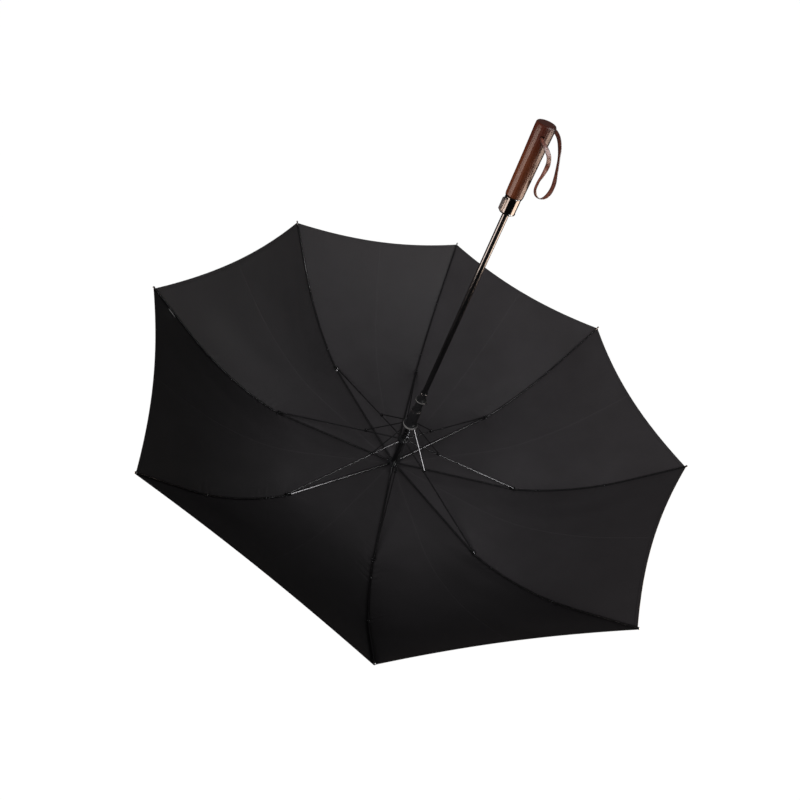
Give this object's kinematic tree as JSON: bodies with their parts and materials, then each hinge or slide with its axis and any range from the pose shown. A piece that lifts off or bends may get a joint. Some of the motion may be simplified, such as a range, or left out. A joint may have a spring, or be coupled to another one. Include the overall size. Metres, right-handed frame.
{
  "type": "stick umbrella",
  "caption": "Long automatic stick umbrella, shown open with its handle up: arched ribs on hinged stretchers, a sliding runner, a thin canopy, a straight wooden grip and a wrist strap.",
  "frame": {"origin": "middle of the ferrule's flat tip", "axes": "+Z along the shaft from the ferrule to the handle, +X along rib 1, and -Y is the front, the side that the strap's visible mouth faces"},
  "size_m": [1.1864, 1.1864, 0.908],
  "materials": {
    "black_steel": "gloss black",
    "black_plastic": "satin black",
    "chrome": "polished",
    "spring_steel": "drawn wire",
    "black_pongee": "satin weave",
    "lacquered_wood": "gloss lacquer",
    "brown_leather": "satin"
  },
  "bodies": {
    "frame": {"shaft_tube": "black_steel", "ferrule": "black_plastic", "canopy_cap": "black_plastic", "crown": "black_plastic", "grip": "lacquered_wood", "collar": "chrome", "button_spring": "spring_steel", "wrist_strap": "brown_leather"},
    "rib_1": {"rib_inner_1": "black_steel", "canopy_panel_1": "black_pongee"},
    "rib_1_outer": {"rib_outer_1": "black_steel", "rib_tip_1": "chrome"},
    "stretcher_1": {"stretcher_1": "black_steel"},
    "link_1": {"link_1": "black_steel"},
    "rib_2": {"rib_inner_2": "black_steel", "canopy_panel_2": "black_pongee"},
    "rib_2_outer": {"rib_outer_2": "black_steel", "rib_tip_2": "chrome"},
    "stretcher_2": {"stretcher_2": "black_steel"},
    "link_2": {"link_2": "black_steel"},
    "rib_3": {"rib_inner_3": "black_steel", "canopy_panel_3": "black_pongee"},
    "rib_3_outer": {"rib_outer_3": "black_steel", "rib_tip_3": "chrome"},
    "stretcher_3": {"stretcher_3": "black_steel"},
    "link_3": {"link_3": "black_steel"},
    "rib_4": {"rib_inner_4": "black_steel", "canopy_panel_4": "black_pongee"},
    "rib_4_outer": {"rib_outer_4": "black_steel", "rib_tip_4": "chrome"},
    "stretcher_4": {"stretcher_4": "black_steel"},
    "link_4": {"link_4": "black_steel"},
    "rib_5": {"rib_inner_5": "black_steel", "canopy_panel_5": "black_pongee"},
    "rib_5_outer": {"rib_outer_5": "black_steel", "rib_tip_5": "chrome"},
    "stretcher_5": {"stretcher_5": "black_steel"},
    "link_5": {"link_5": "black_steel"},
    "rib_6": {"rib_inner_6": "black_steel", "canopy_panel_6": "black_pongee"},
    "rib_6_outer": {"rib_outer_6": "black_steel", "rib_tip_6": "chrome"},
    "stretcher_6": {"stretcher_6": "black_steel"},
    "link_6": {"link_6": "black_steel"},
    "rib_7": {"rib_inner_7": "black_steel", "canopy_panel_7": "black_pongee"},
    "rib_7_outer": {"rib_outer_7": "black_steel", "rib_tip_7": "chrome"},
    "stretcher_7": {"stretcher_7": "black_steel"},
    "link_7": {"link_7": "black_steel"},
    "rib_8": {"rib_inner_8": "black_steel", "canopy_panel_8": "black_pongee"},
    "rib_8_outer": {"rib_outer_8": "black_steel", "rib_tip_8": "chrome"},
    "stretcher_8": {"stretcher_8": "black_steel"},
    "link_8": {"link_8": "black_steel"},
    "notch": {"upper_notch": "black_plastic", "opening_spring": "spring_steel"},
    "runner": {"runner": "black_plastic"},
    "button": {"push_button": "chrome"}
  },
  "joints": [
    {"name": "rib_1_fold", "type": "hinge", "parent": "frame", "child": "rib_1", "pos_m": [0.009, 0, 0.08], "axis": [0, -1, 0], "range_deg": [0, 81], "deforming": ["canopy_panel_1"]},
    {"name": "rib_1_flex", "type": "hinge", "parent": "rib_1", "child": "rib_1_outer", "pos_m": [0.3012, 0, 0.12075], "axis": [0, -1, 0], "range_deg": [-32.4, 0]},
    {"name": "stretcher_1_turn", "type": "hinge", "parent": "rib_1", "child": "stretcher_1", "pos_m": [0.29564, 0, 0.12402], "axis": [0, -1, 0], "range_deg": [-162, 0]},
    {"name": "link_1_turn", "type": "hinge", "parent": "stretcher_1", "child": "link_1", "pos_m": [0.08967, 0, 0.15969], "axis": [0, -1, 0], "range_deg": [0, 31.7]},
    {"name": "rib_2_fold", "type": "hinge", "parent": "frame", "child": "rib_2", "pos_m": [0.00636, 0.00636, 0.08], "axis": [0.7071, -0.7071, 0], "range_deg": [0, 81], "deforming": ["canopy_panel_2"]},
    {"name": "rib_2_flex", "type": "hinge", "parent": "rib_2", "child": "rib_2_outer", "pos_m": [0.21298, 0.21298, 0.12075], "axis": [0.7071, -0.7071, 0], "range_deg": [-32.4, 0]},
    {"name": "stretcher_2_turn", "type": "hinge", "parent": "rib_2", "child": "stretcher_2", "pos_m": [0.20905, 0.20905, 0.12402], "axis": [0.7071, -0.7071, 0], "range_deg": [-162, 0]},
    {"name": "link_2_turn", "type": "hinge", "parent": "stretcher_2", "child": "link_2", "pos_m": [0.06341, 0.06341, 0.15969], "axis": [0.7071, -0.7071, 0], "range_deg": [0, 31.7]},
    {"name": "rib_3_fold", "type": "hinge", "parent": "frame", "child": "rib_3", "pos_m": [0, 0.009, 0.08], "axis": [1, 0, 0], "range_deg": [0, 81], "deforming": ["canopy_panel_3"]},
    {"name": "rib_3_flex", "type": "hinge", "parent": "rib_3", "child": "rib_3_outer", "pos_m": [0, 0.3012, 0.12075], "axis": [1, 0, 0], "range_deg": [-32.4, 0]},
    {"name": "stretcher_3_turn", "type": "hinge", "parent": "rib_3", "child": "stretcher_3", "pos_m": [0, 0.29564, 0.12402], "axis": [1, 0, 0], "range_deg": [-162, 0]},
    {"name": "link_3_turn", "type": "hinge", "parent": "stretcher_3", "child": "link_3", "pos_m": [0, 0.08967, 0.15969], "axis": [1, 0, 0], "range_deg": [0, 31.7]},
    {"name": "rib_4_fold", "type": "hinge", "parent": "frame", "child": "rib_4", "pos_m": [-0.00636, 0.00636, 0.08], "axis": [0.7071, 0.7071, 0], "range_deg": [0, 81], "deforming": ["canopy_panel_4"]},
    {"name": "rib_4_flex", "type": "hinge", "parent": "rib_4", "child": "rib_4_outer", "pos_m": [-0.21298, 0.21298, 0.12075], "axis": [0.7071, 0.7071, 0], "range_deg": [-32.4, 0]},
    {"name": "stretcher_4_turn", "type": "hinge", "parent": "rib_4", "child": "stretcher_4", "pos_m": [-0.20905, 0.20905, 0.12402], "axis": [0.7071, 0.7071, 0], "range_deg": [-162, 0]},
    {"name": "link_4_turn", "type": "hinge", "parent": "stretcher_4", "child": "link_4", "pos_m": [-0.06341, 0.06341, 0.15969], "axis": [0.7071, 0.7071, 0], "range_deg": [0, 31.7]},
    {"name": "rib_5_fold", "type": "hinge", "parent": "frame", "child": "rib_5", "pos_m": [-0.009, 0, 0.08], "axis": [0, 1, 0], "range_deg": [0, 81], "deforming": ["canopy_panel_5"]},
    {"name": "rib_5_flex", "type": "hinge", "parent": "rib_5", "child": "rib_5_outer", "pos_m": [-0.3012, 0, 0.12075], "axis": [0, 1, 0], "range_deg": [-32.4, 0]},
    {"name": "stretcher_5_turn", "type": "hinge", "parent": "rib_5", "child": "stretcher_5", "pos_m": [-0.29564, 0, 0.12402], "axis": [0, 1, 0], "range_deg": [-162, 0]},
    {"name": "link_5_turn", "type": "hinge", "parent": "stretcher_5", "child": "link_5", "pos_m": [-0.08967, 0, 0.15969], "axis": [0, 1, 0], "range_deg": [0, 31.7]},
    {"name": "rib_6_fold", "type": "hinge", "parent": "frame", "child": "rib_6", "pos_m": [-0.00636, -0.00636, 0.08], "axis": [-0.7071, 0.7071, 0], "range_deg": [0, 81], "deforming": ["canopy_panel_6"]},
    {"name": "rib_6_flex", "type": "hinge", "parent": "rib_6", "child": "rib_6_outer", "pos_m": [-0.21298, -0.21298, 0.12075], "axis": [-0.7071, 0.7071, 0], "range_deg": [-32.4, 0]},
    {"name": "stretcher_6_turn", "type": "hinge", "parent": "rib_6", "child": "stretcher_6", "pos_m": [-0.20905, -0.20905, 0.12402], "axis": [-0.7071, 0.7071, 0], "range_deg": [-162, 0]},
    {"name": "link_6_turn", "type": "hinge", "parent": "stretcher_6", "child": "link_6", "pos_m": [-0.06341, -0.06341, 0.15969], "axis": [-0.7071, 0.7071, 0], "range_deg": [0, 31.7]},
    {"name": "rib_7_fold", "type": "hinge", "parent": "frame", "child": "rib_7", "pos_m": [0, -0.009, 0.08], "axis": [-1, 0, 0], "range_deg": [0, 81], "deforming": ["canopy_panel_7"]},
    {"name": "rib_7_flex", "type": "hinge", "parent": "rib_7", "child": "rib_7_outer", "pos_m": [0, -0.3012, 0.12075], "axis": [-1, 0, 0], "range_deg": [-32.4, 0]},
    {"name": "stretcher_7_turn", "type": "hinge", "parent": "rib_7", "child": "stretcher_7", "pos_m": [0, -0.29564, 0.12402], "axis": [-1, 0, 0], "range_deg": [-162, 0]},
    {"name": "link_7_turn", "type": "hinge", "parent": "stretcher_7", "child": "link_7", "pos_m": [0, -0.08967, 0.15969], "axis": [-1, 0, 0], "range_deg": [0, 31.7]},
    {"name": "rib_8_fold", "type": "hinge", "parent": "frame", "child": "rib_8", "pos_m": [0.00636, -0.00636, 0.08], "axis": [-0.7071, -0.7071, 0], "range_deg": [0, 81], "deforming": ["canopy_panel_8"]},
    {"name": "rib_8_flex", "type": "hinge", "parent": "rib_8", "child": "rib_8_outer", "pos_m": [0.21298, -0.21298, 0.12075], "axis": [-0.7071, -0.7071, 0], "range_deg": [-32.4, 0]},
    {"name": "stretcher_8_turn", "type": "hinge", "parent": "rib_8", "child": "stretcher_8", "pos_m": [0.20905, -0.20905, 0.12402], "axis": [-0.7071, -0.7071, 0], "range_deg": [-162, 0]},
    {"name": "link_8_turn", "type": "hinge", "parent": "stretcher_8", "child": "link_8", "pos_m": [0.06341, -0.06341, 0.15969], "axis": [-0.7071, -0.7071, 0], "range_deg": [0, 31.7]},
    {"name": "notch_level", "type": "hinge", "parent": "stretcher_1", "child": "notch", "pos_m": [0.009, 0, 0.16803], "axis": [0, -1, 0], "range_deg": [0, 81]},
    {"name": "runner_slide", "type": "slide", "parent": "notch", "child": "runner", "axis": [0, 0, 1], "range_m": [-0.0373, 0], "deforming": ["opening_spring"]},
    {"name": "button_press", "type": "slide", "parent": "frame", "child": "button", "axis": [0.848, 0.5299, 0], "range_m": [0, 0.0025], "stiffness_N_per_m": 400, "springref_m": -0.002, "deforming": ["button_spring"]}
  ],
  "couplings": [
    {"joint": "rib_1_flex", "follows": "rib_1_fold", "ratio": -0.4},
    {"joint": "stretcher_1_turn", "follows": "rib_1_fold", "ratio": -2},
    {"joint": "link_1_turn", "follows": "rib_1_fold", "ratio": 0.3907},
    {"joint": "rib_2_fold", "follows": "rib_1_fold", "ratio": 1},
    {"joint": "rib_2_flex", "follows": "rib_1_fold", "ratio": -0.4},
    {"joint": "stretcher_2_turn", "follows": "rib_1_fold", "ratio": -2},
    {"joint": "link_2_turn", "follows": "rib_1_fold", "ratio": 0.3907},
    {"joint": "rib_3_fold", "follows": "rib_1_fold", "ratio": 1},
    {"joint": "rib_3_flex", "follows": "rib_1_fold", "ratio": -0.4},
    {"joint": "stretcher_3_turn", "follows": "rib_1_fold", "ratio": -2},
    {"joint": "link_3_turn", "follows": "rib_1_fold", "ratio": 0.3907},
    {"joint": "rib_4_fold", "follows": "rib_1_fold", "ratio": 1},
    {"joint": "rib_4_flex", "follows": "rib_1_fold", "ratio": -0.4},
    {"joint": "stretcher_4_turn", "follows": "rib_1_fold", "ratio": -2},
    {"joint": "link_4_turn", "follows": "rib_1_fold", "ratio": 0.3907},
    {"joint": "rib_5_fold", "follows": "rib_1_fold", "ratio": 1},
    {"joint": "rib_5_flex", "follows": "rib_1_fold", "ratio": -0.4},
    {"joint": "stretcher_5_turn", "follows": "rib_1_fold", "ratio": -2},
    {"joint": "link_5_turn", "follows": "rib_1_fold", "ratio": 0.3907},
    {"joint": "rib_6_fold", "follows": "rib_1_fold", "ratio": 1},
    {"joint": "rib_6_flex", "follows": "rib_1_fold", "ratio": -0.4},
    {"joint": "stretcher_6_turn", "follows": "rib_1_fold", "ratio": -2},
    {"joint": "link_6_turn", "follows": "rib_1_fold", "ratio": 0.3907},
    {"joint": "rib_7_fold", "follows": "rib_1_fold", "ratio": 1},
    {"joint": "rib_7_flex", "follows": "rib_1_fold", "ratio": -0.4},
    {"joint": "stretcher_7_turn", "follows": "rib_1_fold", "ratio": -2},
    {"joint": "link_7_turn", "follows": "rib_1_fold", "ratio": 0.3907},
    {"joint": "rib_8_fold", "follows": "rib_1_fold", "ratio": 1},
    {"joint": "rib_8_flex", "follows": "rib_1_fold", "ratio": -0.4},
    {"joint": "stretcher_8_turn", "follows": "rib_1_fold", "ratio": -2},
    {"joint": "link_8_turn", "follows": "rib_1_fold", "ratio": 0.3907},
    {"joint": "notch_level", "follows": "rib_1_fold", "ratio": 1},
    {"joint": "runner_slide", "follows": "rib_1_fold", "m_per_rad": -0.02634}
  ]
}
